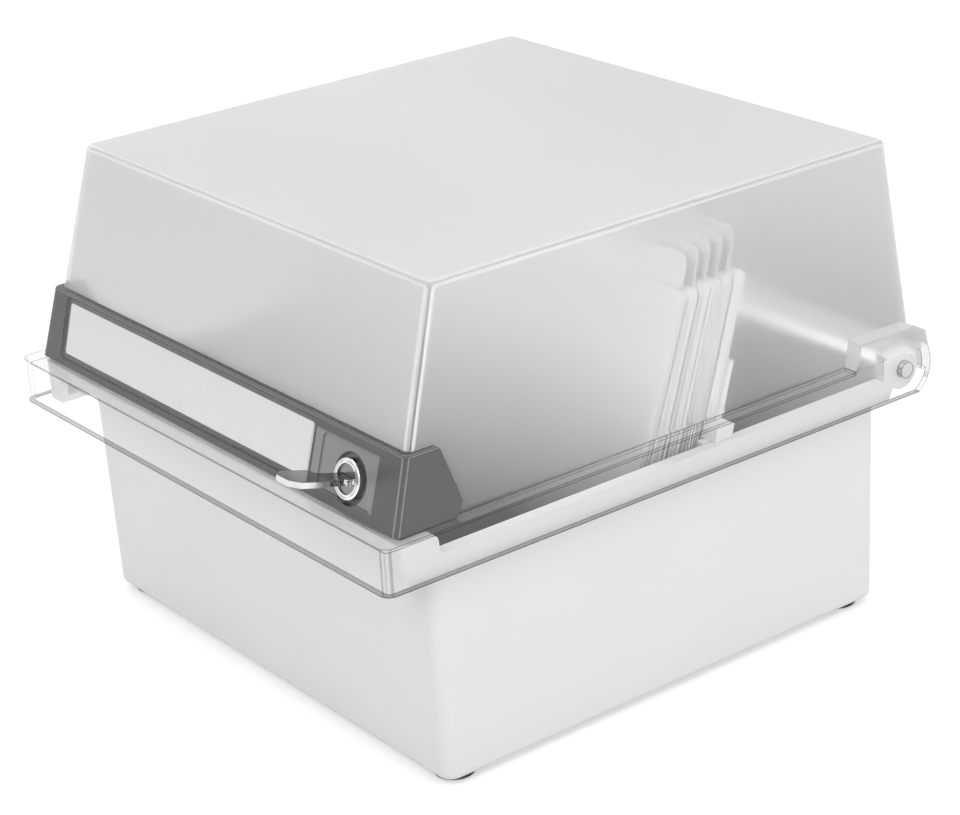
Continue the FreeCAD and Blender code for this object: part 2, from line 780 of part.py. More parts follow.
def make_key():
    """A flat key that lies level in the plug, with notches along one edge of its blade."""
    face = lock_rim_out - lock_plug_inset
    half = key_blade_width / 2
    tip = face - key_blade_depth
    neck = face + key_neck_length
    bow_end = neck + key_bow_length
    bow_low = key_bow_offset - key_bow_width / 2
    bow_high = key_bow_offset + key_bow_width / 2
    c = key_bow_chamfer
    pitch = (neck - tip) / (key_notch_count + 2)
    cut = key_tip_chamfer
    outline = [(-half, tip + cut), (-half + cut, tip), (half - cut, tip), (half, tip + cut)]
    for i in range(key_notch_count):
        mid = tip + pitch * (i + 1.5)
        depth = key_notch_depth if i % 2 else key_notch_depth * key_low_notch_share
        reach = pitch * key_notch_half_share
        outline += [(half, mid - reach), (half - depth, mid), (half, mid + reach)]
    outline += [(half, neck), (bow_high, neck + c), (bow_high, bow_end - c), (bow_high - c, bow_end),
                (bow_low + c, bow_end), (bow_low, bow_end - c), (bow_low, neck + c / 2), (-half, neck)]
    points = [on_lock(x, -key_thickness / 2, out) for x, out in outline]
    wire = Part.makePolygon(points + points[:1])
    return Part.Face(wire).extrude(strip_up * key_thickness)


def leaf_lean(i):
    return front_lean_angle + (back_lean_angle - front_lean_angle) * i / (leaf_count - 1)


def leaf_thickness(i):
    return divider_thickness if i % 2 else pack_thickness


def leaf_front_y(i):
    """Where a leaf's front face meets the floor: leaves are packed at the height of the card tops."""
    total = 0.0
    for j in range(i):
        lean = math.radians(leaf_lean(j))
        slack = card_height * (math.sin(lean) - math.sin(math.radians(leaf_lean(j + 1))))
        total += leaf_thickness(j) / math.cos(lean) + leaf_gap + slack
    return pack_front_y + total


def leaf_solid(i, corners):
    """A flat leaf standing on the ribs: (x, height) corners, sheared back by its lean."""
    lean = math.radians(leaf_lean(i))
    y0 = leaf_front_y(i)
    points = [V(x, y0 + h * math.sin(lean), card_floor_z + h * math.cos(lean)) for x, h in corners]
    wire = Part.makePolygon(points + points[:1])
    return Part.Face(wire).extrude(V(0, leaf_thickness(i) / math.cos(lean), 0))


def make_card_pack(i):
    half = card_width / 2
    r = card_radius
    corners = [(half, 0), (half, card_height - r), (half - r, card_height),
               (-half + r, card_height), (-half, card_height - r), (-half, 0)]
    return leaf_solid(i, corners)


def make_divider(i):
    half = card_width / 2
    r = card_radius
    rank = (i - 1) // 2
    right = half - tab_inset
    left = right - tab_width
    top = card_height + tab_height + tab_step * rank
    tab = arc_points(right - tab_radius, top - tab_radius, tab_radius, 0, 90, 5)
    tab += arc_points(left + tab_radius, top - tab_radius, tab_radius, 90, 180, 5)
    corners = [(half, 0), (half, card_height - r), (half - r, card_height), (right, card_height)]
    corners += tab
    corners += [(left, card_height), (-half + r, card_height), (-half, card_height - r), (-half, 0)]
    return leaf_solid(i, corners)


def plate_front_y(z):
    slope = math.tan(math.radians(back_lean_angle))
    last = leaf_count - 1
    foot = leaf_front_y(last) + leaf_thickness(last) / math.cos(math.radians(back_lean_angle)) + plate_gap
    return foot + slope * (z - card_floor_z)


def make_support_plate():
    """A leaning plate with two ribs behind it, carried between the sliders."""
    low = card_floor_z + plate_floor_gap
    t = plate_thickness / math.cos(math.radians(back_lean_angle))
    half = inner_half - plate_side_gap
    front_low = plate_front_y(low)
    front_top = plate_front_y(plate_top_z)
    shape = side_profile([(front_low, low), (front_top, plate_top_z), (front_top + t, plate_top_z),
                          (front_low + t, low)], -half, half)
    rib_top = plate_top_z - plate_rib_drop
    rib = [(front_low + t / 2, low), (plate_front_y(rib_top) + t / 2, rib_top),
           (front_low + t + plate_rib_depth, low)]
    for i in range(plate_rib_count):
        x = plate_rib_spacing * (i - (plate_rib_count - 1) / 2)
        shape = shape.fuse(side_profile(rib, x - plate_rib_thickness / 2, x + plate_rib_thickness / 2))
    return shape.removeSplitter()


def make_slider(side):
    """A lug on the ledge that grips the plate's end, with a shoe in the rail below it."""
    seat = ledge_z + lug_seat_gap
    top = seat + lug_height
    t = plate_thickness / math.cos(math.radians(back_lean_angle))
    front = plate_front_y(seat)
    lug = [(front - lug_reach, seat), (front - lug_reach + lug_slant, top), (plate_front_y(top) + t, top),
           (front + t, seat)]
    inner = inner_half - plate_side_gap + lug_side_gap
    x0, x1 = sorted((side * inner, side * (inner + lug_width)))
    shape = side_profile(lug, x0, x1)
    shoe_inner = inner_half + shoe_clearance
    shoe_outer = rim_half - ledge_width - shoe_clearance
    x0, x1 = sorted((side * shoe_inner, side * shoe_outer))
    shoe_end = front + t
    shoe = box(x0, x1, shoe_end - shoe_length, shoe_end, rim_bottom_z + rim_step + shoe_clearance, seat)
    return shape.fuse(shoe).removeSplitter()


save(make_trough(), "trough")
for side, word in ((-1, "left"), (1, "right")):
    save(make_foot(side, trough_front_y + foot_inset), "foot_front_" + word)
    save(make_foot(side, trough_back_y - foot_inset), "foot_back_" + word)
    save(make_hinge_pin(side), "hinge_pin_" + word)
    save(make_slider(side), "slider_" + word)
save(make_catch(), "lock_catch")
for i, z in enumerate(catch_screw_heights()):
    save(make_catch_screw(z), "catch_screw_" + str(i + 1))
save(make_lid_shell(), "lid_shell")
save(make_strip(), "lock_strip")
save(make_label_card(), "label_card")
save(make_label_cover(), "label_cover")
for i, x in enumerate(clip_places()):
    save(make_clip(x), "strip_clip_" + str(i + 1))
save(make_lock_cup(), "lock_cup")
save(make_lock_body(), "lock_body")
save(make_lock_nut(), "lock_nut")
save(make_lock_plug(), "lock_plug")
save(make_lock_cam(), "lock_cam")
save(make_cam_washer(), "cam_washer")
save(make_cam_screw(), "cam_screw")
save(make_key(), "key")
save(make_support_plate(), "support_plate")
for i in range(leaf_count):
    if i % 2:
        save(make_divider(i), "divider_" + str(i // 2 + 1))
    else:
        save(make_card_pack(i), "card_pack_" + str(i // 2 + 1))
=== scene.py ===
import math
import random

import bmesh
import bpy
from mathutils import Matrix, Vector

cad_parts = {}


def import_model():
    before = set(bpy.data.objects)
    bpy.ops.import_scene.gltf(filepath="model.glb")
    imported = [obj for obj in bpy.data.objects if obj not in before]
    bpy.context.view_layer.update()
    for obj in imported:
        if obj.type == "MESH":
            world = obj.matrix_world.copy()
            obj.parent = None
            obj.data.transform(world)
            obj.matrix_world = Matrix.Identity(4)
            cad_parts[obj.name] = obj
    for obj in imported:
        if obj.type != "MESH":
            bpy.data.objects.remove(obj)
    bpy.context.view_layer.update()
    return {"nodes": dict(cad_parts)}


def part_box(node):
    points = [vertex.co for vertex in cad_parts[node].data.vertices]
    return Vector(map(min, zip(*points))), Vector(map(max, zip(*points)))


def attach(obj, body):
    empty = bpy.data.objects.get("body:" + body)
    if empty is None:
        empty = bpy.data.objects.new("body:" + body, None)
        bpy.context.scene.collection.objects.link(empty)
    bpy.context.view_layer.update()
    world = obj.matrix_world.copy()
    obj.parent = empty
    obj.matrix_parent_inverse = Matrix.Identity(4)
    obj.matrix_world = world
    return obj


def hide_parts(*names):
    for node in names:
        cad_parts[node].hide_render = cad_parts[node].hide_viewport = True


# Index card box with a frosted lid. Metres, +Z up, the front faces -Y.
# Colours are amounts of red, green and blue. A pair of numbers is a range, or a soft border's start and end.

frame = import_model()

# Camera
CAMERA_PLACE = (0.7471, -0.5504, 0.4721)
CAMERA_AZIMUTH = 53.109
CAMERA_ELEVATION = 22.842
CAMERA_ROLL = -3.137
CAMERA_LENS = 100.82
CAMERA_SENSOR = 36.0
CAMERA_SHIFT = (0.0026, -0.0005)

# Surroundings and floor: how they light the object, and how they are seen
LIGHT_COLOUR = (1, 1, 1)
SKY_LIGHT = 0.64
SKY_SEEN = 1.0
FLOOR_HALF = 6.0
FLOOR_COLOUR = (0.8, 0.8, 0.8)
FLOOR_GLOW = 0.4

# Lamps: place, the point that each looks at, size and power
LAMPS = {
    "key_lamp": ((0.9, -1.3, 1.5), (0, 0, 0.08), 0.9, 10.5),
    "top_lamp": ((-0.5, 0.3, 1.8), (0, 0, 0.1), 1.2, 8.0),
    "side_lamp": ((1.9, 0.5, 0.9), (0, 0, 0.08), 1.0, 7.0),
}

# Noises: where most of their values lie, and their scales and fineness in plastics, metals and papers
NOISE_RANGE = (0.3, 0.7)
NOISE_DETAIL = 3.0
TONE_SCALE = 18.0
GLOSS_SCALE = 60.0
PLATING_SCALE = 300.0
GRAIN_DETAIL = 2.0
GRAIN_STRENGTH = 0.25
PLATING_DEPTH = 0.0001

# Moulded plastics: two close tones, roughness, and their grain's scale and depth
MOULDED = {
    "white_plastic": (((0.80, 0.80, 0.79), (0.83, 0.83, 0.82)), (0.36, 0.46), 900.0, 0.0001),
    "pale_plastic": (((0.66, 0.66, 0.66), (0.7, 0.7, 0.7)), (0.3, 0.4), 900.0, 0.0001),
    "dark_plastic": (((0.15, 0.15, 0.151), (0.17, 0.17, 0.172)), (0.3, 0.38), 1400.0, 0.00006),
    "dark_rubber": (((0.03, 0.03, 0.03), (0.05, 0.05, 0.05)), (0.7, 0.85), 700.0, 0.0002),
}

# Plated metals: two close tones, roughness, and their brushed grain's scale and strength
PLATED = {
    "chrome": (((0.78, 0.78, 0.78), (0.84, 0.84, 0.84)), (0.05, 0.12), 400.0, 0.02),
    "plug_steel": (((0.2, 0.2, 0.2), (0.32, 0.32, 0.32)), (0.12, 0.25), 500.0, 0.04),
    "plated_steel": (((0.48, 0.48, 0.49), (0.58, 0.58, 0.59)), (0.25, 0.4), 700.0, 0.1),
}

# Painted reflection: metals are painted darker where they turn away from the eye, for the dark surroundings
# they mirror
PLATED_FACING = 0.5
TURNED_AWAY = (0.42, 0.72)
PAINTED_REFLECTION_SHARE = 0.7
PAINTED_REFLECTION_COLOUR = (0.08, 0.08, 0.082)

# The key: its plating, and the milled marks on its blade, which starts behind the bow
KEY_TONES = ((0.72, 0.72, 0.72), (0.8, 0.8, 0.8))
KEY_PLATING = ((0.14, 0.22), 500.0, 0.03)
KEY_BOW_DEPTH = 0.0145
BLADE_START = 0.0005
MARK_NOISE = (1100.0, 4.0)
MARK_RANGE = (0.42, 0.58)
MARK_SHADE = (0.1, 0.9)
MARK_COLOUR = (0.06, 0.06, 0.06)

# Papers: two close tones and the scale on which they vary. Gloss and fibres vary that many times finer
CARD_PAPER = (((0.9, 0.9, 0.89), (0.95, 0.95, 0.94)), 150.0)
DIVIDER_CARD = (((0.86, 0.86, 0.85), (0.92, 0.92, 0.91)), 90.0)
LABEL_PAPER = (((0.9, 0.895, 0.89), (0.94, 0.935, 0.93)), 200.0)
PAPER_ROUGHNESS = (0.75, 0.95)
GLOSS_FINENESS = 4
FIBRE_FINENESS = 6
FIBRE_RELIEF = (0.2, 0.0001, 5.0)

# The front card darkens on its way down into the trough, and a divider close behind its neighbour
PAPER_FRONT = (0.5, 0.8)
DEPTH_Z = (0.055, 0.125)
DEPTH_SHADE = 0.86
DEPTH_COLOUR = (0.02, 0.02, 0.022)
NOOK_REACH = 0.014
NOOK_SAMPLES = 8
NOOK_OPENNESS = (0.1, 0.75)
NOOK_SHADE = 0.55
NOOK_COLOUR = (0.1, 0.1, 0.105)

# The trough's room, inside its walls and over its rails, and its shade
INNER_HALF = 0.1057
RAIL_HALF = 0.1097
RAIL_Z = 0.0875
LEDGE_Z = 0.093
WALL_X = (INNER_HALF + 0.0005, INNER_HALF + 0.0009)
RAIL_X = (RAIL_HALF + 0.0001, RAIL_HALF + 0.0004)
OVER_RAIL_Z = (RAIL_Z - 0.0004, RAIL_Z - 0.0002)
ROOM_Z = (0.0045, LEDGE_Z - 0.0005)
ROOM_Y = (-0.0901, 0.1123)
ROOM_STEP = 0.0002
FRONT_CORNER = (0.1936, 0.1942)
BACK_CORNER = (0.2158, 0.2164)
FRONT_WALL_LEAN = 0.0258
ROOM_COLOUR = (0.35, 0.35, 0.355)

# Levels on the lid, in metres above the ground, and the soft borders there
SKIRT_Z = 0.0852
SHELF_Z = 0.1024
DOME_Z = (SHELF_Z, 0.1819)
LOW_EDGE_Z = (SKIRT_Z + 0.0003, SKIRT_Z + 0.0006)
SHELF_START_Z = (SHELF_Z - 0.0003, SHELF_Z - 0.0001)
DOME_START_Z = (SHELF_Z + 0.0001, SHELF_Z + 0.0006)
HAZE_Z = (SHELF_Z + 0.002, DOME_Z[1] - 0.008)

# Faces and bends are told apart by how much of the surface's direction lies along an axis
FACE = (0.7, 0.95)
BEND_STEP = 0.01
DOME_EDGE = (0.86, 0.94)
DOME_GLINT = (0.84, 0.95)
DOME_BEND = (0.76, 0.84)
SHEET_BEND = (0.9, 0.955)
STRIP_BEND = (0.86, 0.94)
STRIP_TOP = (0.8, 0.9)
SHELF_FACE = (0.9, 0.99)

# The milky haze: from low to high on the dome's sides, then added on its top, front and back
SIDE_HAZE = (0.15, 0.42)
TOP_HAZE = 0.34
END_HAZE = (0.28, 0.6)
END_HAZE_Y = (0.05, 0.08)
SHELF_HAZE = 0.15
EDGE_CLEARNESS = 0.7
HAZE_SCALE = 9.0
HAZE_SPREAD = (0.94, 1.06)
MILK_COLOUR = (0.8, 0.8, 0.795)
MILK_ROUGHNESS = 0.42
MILK_RELIEF = (2500.0, 0.05, 0.0001, GRAIN_DETAIL)
MILK_GLOW = 0.4
GLOW_COLOUR = (0.8, 0.8, 0.8)

# The frosted plastic: a low refraction keeps the blur of what is behind it soft
FROST_COLOUR = (0.95, 0.95, 0.95)
FROST_IOR = 1.14
FROST_ROUGHNESS = (0.28, 0.32)
FROST_RELIEF = (40.0, 0.04, 0.0002)

# Its bends: a painted highlight line on each side, weaker where they face up, and a painted shade line
# between
GLINT_COLOUR = (0.95, 0.95, 0.95)
GLINT_FACE = (0.2, 0.6)
GLINT_SHARE = (0.7, 0.3)
PAINTED_SHADE_COLOUR = (0.3, 0.3, 0.3)
BEND_SHADE_SHARE = 0.3
LINE_ROUGHNESS = 0.3

# Painted shade: the lid's back wall is painted greyer in its lower part
BACK_Y = (0.1, 0.106)
BACK_SHADE_Z = (SHELF_Z, 0.15)
BACK_SHADE = 0.3

# The shadow that the lid casts, through its skirt and through its dome
CAST_TINTS = ((0.985, 0.985, 0.985), (0.93, 0.93, 0.93))

# Clear plastic: painted shade lines on sharp edges, in bends and at the skirt's lower end, and painted
# greying where it is seen edge on
CLEAR_IOR = 1.49
SHEET_FACING = 0.3
SHEET_TURN = (0.4, 1.0)
SHEET_EDGE = 0.0008
EDGE_SAMPLES = 6
EDGE_SHARPNESS = (0.9, 0.995)
EDGE_SHADE = 0.85
BEND_SHADE = 0.45
LOW_EDGE_SHADE = 0.6
PAINTED_LINE_COLOUR = (0.15, 0.15, 0.15)
SHEET_GLOSS_SCALE = 90.0
SHEET_GLOSS_SPREAD = (0.6, 1.4)
SHEET_RELIEF = (25.0, 0.05, 0.0002)
SKIRT_SHEET = (((0.98, 0.98, 0.98), (0.7, 0.7, 0.7)), 0.03)
COVER_SHEET = (((0.99, 0.99, 0.99), (0.75, 0.75, 0.75)), 0.04)

# The strip: its plastic, and the paler panel around the lock
STRIP_TONES = ((0.094, 0.091, 0.095), (0.106, 0.103, 0.107))
STRIP_GRAIN = ((0.22, 0.3), 1400.0, 0.00006, 0.1)
# Painted shade on the strip's top face, and a painted highlight along its bends
STRIP_TOP_SHADE_COLOUR = (0.05, 0.05, 0.052)
STRIP_BEND_HIGHLIGHT_COLOUR = (0.26, 0.26, 0.26)
PANEL_X = (0.0635, 0.0985)
PANEL_Z = (0.1063, 0.1251)
PANEL_STEP_X = 0.0002
PANEL_STEP_Z = 0.0003
PANEL_TONES = ((0.25, 0.25, 0.252), (0.28, 0.28, 0.282))
PANEL_SCALE = 30.0

# Cards
CARD_HEIGHT = 0.148
CARD_CORNER = 0.002
CORNER_CUT = 0.3
SHEETS_IN_PACK = 13
SHEET_FILL = 0.95
SHEET_MOST_FILL = 0.97
SHEET_SPREAD = (0.7, 1.15)
SHEET_SIDE_JITTER = 0.0007
SHEET_TOP_JITTER = 0.0009
SHEET_SEED = 7

# Pieces that repeat
PACKS = 6
DIVIDERS = 5
CLIPS = 4
CATCH_SCREWS = 2

# Rounds on edges that the CAD solids leave sharp
EDGE_ROUND = 0.0004
FINE_EDGE_ROUND = 0.00015
EDGE_ROUND_ANGLE = 40
EDGE_ROUND_STEPS = 2

# The sockets of Blender's mix node that hold its two colours and their mixture
FIRST_COLOUR = 6
SECOND_COLOUR = 7
MIXED_COLOUR = 2

random.seed(SHEET_SEED)


def camera():
    """The photograph's camera: place, direction, roll and lens."""
    azimuth = math.radians(CAMERA_AZIMUTH)
    elevation = math.radians(CAMERA_ELEVATION)
    roll = math.radians(CAMERA_ROLL)
    flat = math.cos(elevation)
    back = Vector((math.sin(azimuth) * flat, -math.cos(azimuth) * flat, math.sin(elevation)))
    level = Vector((math.cos(azimuth), math.sin(azimuth), 0))
    up = back.cross(level)
    right = math.cos(roll) * level + math.sin(roll) * up
    top = math.cos(roll) * up - math.sin(roll) * level
    data = bpy.data.cameras.new("camera")
    data.lens = CAMERA_LENS
    data.sensor_width = CAMERA_SENSOR
    data.shift_x, data.shift_y = CAMERA_SHIFT
    data.dof.use_dof = False
    made = bpy.data.objects.new("camera", data)
    bpy.context.scene.collection.objects.link(made)
    turn = Matrix((right, top, back)).transposed()
    made.matrix_world = Matrix.Translation(CAMERA_PLACE) @ turn.to_4x4()
    bpy.context.scene.camera = made


class Nodes:
    """The nodes of a material or a world, and short ways to add them."""

    def __init__(self, owner):
        self.owner = owner
        owner.use_nodes = True
        self.tree = owner.node_tree
        self.tree.nodes.clear()

    def feed(self, socket, value):
        """Links an output to a socket, or sets the socket's own value, which is a number or a colour."""
        if isinstance(value, bpy.types.NodeSocket):
            self.tree.links.new(value, socket)
        elif isinstance(value, tuple):
            socket.default_value = (*value, 1)
        else:
            socket.default_value = value

    def add(self, kind, **inputs):
        node = self.tree.nodes.new(kind)
        for key, value in inputs.items():
            self.feed(node.inputs[key.replace("_", " ")], value)
        return node

    def surface(self, socket):
        """Ends the tree with a surface and gives back its material or world."""
        kind = "World" if isinstance(self.owner, bpy.types.World) else "Material"
        self.add("ShaderNodeOutput" + kind, Surface=socket)
        return self.owner

    def place(self):
        return self.add("ShaderNodeTexCoord").outputs["Object"]

    def axis(self, letter):
        return self.add("ShaderNodeSeparateXYZ", Vector=self.place()).outputs[letter]

    def noise(self, scale, detail=NOISE_DETAIL):
        node = self.add("ShaderNodeTexNoise", Scale=scale, Detail=detail, Vector=self.place())
        return node.outputs["Fac"]

    def remap(self, socket, low, high, to_low, to_high):
        """A value moved from one range to another and kept inside it."""
        node = self.add("ShaderNodeMapRange", Value=socket, From_Min=low, From_Max=high,
                        To_Min=to_low, To_Max=to_high)
        return node.outputs["Result"]

    def rise(self, socket, border, most=1.0):
        """0 before a soft border and most behind it."""
        return self.remap(socket, *border, 0.0, most)

    def fall(self, socket, border, most=1.0):
        """Most before a soft border and 0 behind it."""
        return self.remap(socket, *border, most, 0.0)

    def between(self, socket, low, high, soft):
        """1 between two values and 0 outside them, with a soft step."""
        above = self.rise(socket, (low - soft, low + soft))
        below = self.fall(socket, (high - soft, high + soft))
        return self.times(above, below)

    def uneven(self, scale, low, high):
        """A noise spread between two values."""
        return self.remap(self.noise(scale), *NOISE_RANGE, low, high)

    def calculate(self, operation, *values):
        node = self.add("ShaderNodeMath")
        node.operation = operation
        for socket, value in zip(node.inputs, values):
            self.feed(socket, value)
        return node.outputs[0]

    def times(self, product, *factors):
        for factor in factors:
            product = self.calculate("MULTIPLY", product, factor)
        return product

    def largest(self, result, *others):
        for value in others:
            result = self.calculate("MAXIMUM", result, value)
        return result

    def relief(self, scale, strength, depth, detail=NOISE_DETAIL):
        """Fine bumps in a surface."""
        height = self.noise(scale, detail)
        return self.add("ShaderNodeBump", Strength=strength, Distance=depth, Height=height).outputs["Normal"]

    def ramp(self, socket, low, high):
        node = self.add("ShaderNodeValToRGB", Fac=socket)
        for stop, colour in zip(node.color_ramp.elements, (low, high)):
            stop.color = (*colour, 1)
        return node.outputs["Color"]

    def facing(self, blend):
        return self.add("ShaderNodeLayerWeight", Blend=blend).outputs["Facing"]

    def directions(self):
        """How much the surface points along X, Y and Z."""
        normal = self.add("ShaderNodeTexCoord").outputs["Normal"]
        split = self.add("ShaderNodeSeparateXYZ", Vector=normal)
        return [self.calculate("ABSOLUTE", split.outputs[letter]) for letter in "XYZ"]

    def edges(self, radius, sharpness):
        """1 along sharp edges and 0 on open faces, as wide as the radius."""
        rounded = self.add("ShaderNodeBevel", Radius=radius)
        rounded.samples = EDGE_SAMPLES
        node = self.add("ShaderNodeVectorMath")
        node.operation = "DOT_PRODUCT"
        self.feed(node.inputs[0], rounded.outputs["Normal"])
        self.feed(node.inputs[1], self.add("ShaderNodeNewGeometry").outputs["Normal"])
        return self.fall(self.calculate("ABSOLUTE", node.outputs["Value"]), sharpness)

    def seen(self):
        """1 for what the eye sees, also in mirrors and through glass, and 0 for light on surfaces."""
        path = self.add("ShaderNodeLightPath")
        mirrored = self.calculate("ADD", path.outputs["Is Camera Ray"], path.outputs["Is Glossy Ray"])
        return self.calculate("ADD", mirrored, path.outputs["Is Transmission Ray"])

    def blend(self, share, first, second):
        """One colour turning into another."""
        node = self.add("ShaderNodeMix", Factor=share)
        node.data_type = "RGBA"
        self.feed(node.inputs[FIRST_COLOUR], first)
        self.feed(node.inputs[SECOND_COLOUR], second)
        return node.outputs[MIXED_COLOUR]

    def mix(self, share, first, second):
        """One surface turning into another."""
        node = self.add("ShaderNodeMixShader", Fac=share)
        self.feed(node.inputs[1], first)
        self.feed(node.inputs[2], second)
        return node.outputs["Shader"]

    def body(self, **inputs):
        return self.add("ShaderNodeBsdfPrincipled", **inputs).outputs["BSDF"]


def new_nodes(name):
    return Nodes(bpy.data.materials.new(name))


def grained(n, colour, roughness, scale, depth, strength=GRAIN_STRENGTH):
    """Plastic with slightly uneven gloss and a fine grain."""
    return n.body(Base_Color=colour, Roughness=n.uneven(GLOSS_SCALE, *roughness),
                  Normal=n.relief(scale, strength, depth, GRAIN_DETAIL))


def moulded_plastic(name, tones, *grain):
    n = new_nodes(name)
    return n.surface(grained(n, n.ramp(n.noise(TONE_SCALE), *tones), *grain))


def trough_room(n):
    """1 inside the trough and 0 outside it."""
    side = n.calculate("ABSOLUTE", n.axis("X"))
    height = n.axis("Z")
    over_rails = n.times(n.fall(side, RAIL_X), n.rise(height, OVER_RAIL_Z))
    across = n.largest(n.fall(side, WALL_X), over_rails)
    from_front = n.calculate("ADD", n.axis("Y"), n.times(height, FRONT_WALL_LEAN))
    along = n.between(from_front, *ROOM_Y, ROOM_STEP)
    front_corners = n.fall(n.calculate("SUBTRACT", side, from_front), FRONT_CORNER)
    back_corners = n.fall(n.calculate("ADD", side, n.axis("Y")), BACK_CORNER)
    up = n.between(height, *ROOM_Z, ROOM_STEP)
    return n.times(across, along, front_corners, back_corners, up)


def trough_plastic():
    """The white plastic, with the deep shade that fills the trough's room."""
    n = new_nodes("trough_plastic")
    tones, *grain = MOULDED["white_plastic"]
    outside = n.ramp(n.noise(TONE_SCALE), *tones)
    return n.surface(grained(n, n.blend(trough_room(n), outside, ROOM_COLOUR), *grain))


def strip_plastic():
    """Dark grey, paler in the panel around the lock, with painted shade on top and a painted highlight line
    along its bends.
    """
    n = new_nodes("strip_plastic")
    strip = n.ramp(n.noise(TONE_SCALE), *STRIP_TONES)
    panel = n.ramp(n.noise(PANEL_SCALE), *PANEL_TONES)
    in_panel = n.times(n.between(n.axis("X"), *PANEL_X, PANEL_STEP_X),
                       n.between(n.axis("Z"), *PANEL_Z, PANEL_STEP_Z))
    directions = n.directions()
    colour = n.blend(in_panel, strip, panel)
    # Painted shade on the top face, then a painted highlight along the bends
    colour = n.blend(n.rise(directions[2], STRIP_TOP), colour, STRIP_TOP_SHADE_COLOUR)
    bends = n.between(n.largest(*directions), *STRIP_BEND, BEND_STEP)
    return n.surface(grained(n, n.blend(bends, colour, STRIP_BEND_HIGHLIGHT_COLOUR), *STRIP_GRAIN))


def plated(n, colour, roughness, scale, strength):
    """A plated surface with a faint brushed grain, and a painted dark reflection where it turns away from the
    eye.
    """
    # Painted reflection: darker colour where the surface turns away from the eye
    away = n.rise(n.facing(PLATED_FACING), TURNED_AWAY, PAINTED_REFLECTION_SHARE)
    return n.body(Base_Color=n.blend(away, colour, PAINTED_REFLECTION_COLOUR), Metallic=1.0,
                  Roughness=n.uneven(scale, *roughness), Normal=n.relief(scale, strength, PLATING_DEPTH))


def metal(name, tones, *grain):
    n = new_nodes(name)
    return n.surface(plated(n, n.ramp(n.noise(PLATING_SCALE), *tones), *grain))


def milled_key():
    """The key's plated steel, with darker milled marks along its blade."""
    n = new_nodes("key_steel")
    blade_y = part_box("key")[0].y + KEY_BOW_DEPTH
    blade = n.rise(n.axis("Y"), (blade_y, blade_y + BLADE_START))
    marks = n.remap(n.noise(*MARK_NOISE), *MARK_RANGE, *MARK_SHADE)
    plain = n.ramp(n.noise(PLATING_SCALE), *KEY_TONES)
    return n.surface(plated(n, n.blend(n.times(blade, marks), plain, MARK_COLOUR), *KEY_PLATING))


def depth_shade(n):
    """More shade further down into the trough."""
    return n.fall(n.axis("Z"), DEPTH_Z, DEPTH_SHADE)


def nook_shade(n):
    """More shade where a neighbour is close."""
    nook = n.add("ShaderNodeAmbientOcclusion", Distance=NOOK_REACH)
    nook.samples = NOOK_SAMPLES
    return n.fall(nook.outputs["AO"], NOOK_OPENNESS, NOOK_SHADE)


def paper(name, tones, scale, shade=None, shade_colour=None):
    """Uncoated card stock with fibres, and a shade on its front if one is given."""
    n = new_nodes(name)
    colour = n.ramp(n.noise(scale), *tones)
    if shade:
        front = n.rise(n.directions()[1], PAPER_FRONT)
        colour = n.blend(n.times(front, shade(n)), colour, shade_colour)
    return n.surface(n.body(Base_Color=colour, Roughness=n.uneven(scale * GLOSS_FINENESS, *PAPER_ROUGHNESS),
                            Normal=n.relief(scale * FIBRE_FINENESS, *FIBRE_RELIEF)))


def clear_sheet(n, tints, roughness, low_line=0.0):
    """Clear plastic as a thin sheet with a sharp shine on its outer side, painted shade lines on its edges
    and bends, and painted greying where it is seen edge on.
    """
    bends = n.between(n.largest(*n.directions()), *SHEET_BEND, BEND_STEP)
    edges = n.edges(SHEET_EDGE, EDGE_SHARPNESS)
    # Painted shade lines on edges, bends and the skirt's lower end; the tint below is painted greying where
    # the sheet is seen edge on
    painted_lines = n.largest(n.times(bends, BEND_SHADE), low_line, n.times(edges, EDGE_SHADE))
    tint = n.ramp(n.rise(n.facing(SHEET_FACING), SHEET_TURN), *tints)
    see = n.add("ShaderNodeBsdfTransparent", Color=n.blend(painted_lines, tint, PAINTED_LINE_COLOUR))
    spread = [roughness * share for share in SHEET_GLOSS_SPREAD]
    shine = n.add("ShaderNodeBsdfGlossy", Color=LIGHT_COLOUR, Roughness=n.uneven(SHEET_GLOSS_SCALE, *spread),
                  Normal=n.relief(*SHEET_RELIEF))
    fresnel = n.add("ShaderNodeFresnel", IOR=CLEAR_IOR).outputs["Fac"]
    inner = n.add("ShaderNodeNewGeometry").outputs["Backfacing"]
    outer = n.calculate("SUBTRACT", 1.0, inner)
    return n.mix(n.times(fresnel, outer), see.outputs["BSDF"], shine.outputs["BSDF"])


def clear_cover():
    n = new_nodes("clear_cover")
    return n.surface(clear_sheet(n, *COVER_SHEET))


def milky_plastic(n):
    """The white haze in the lid, lit from both of its sides."""
    milk = n.body(Base_Color=MILK_COLOUR, Roughness=MILK_ROUGHNESS, Normal=n.relief(*MILK_RELIEF))
    glow = n.add("ShaderNodeBsdfTranslucent", Color=GLOW_COLOUR).outputs["BSDF"]
    return n.mix(MILK_GLOW, milk, glow)


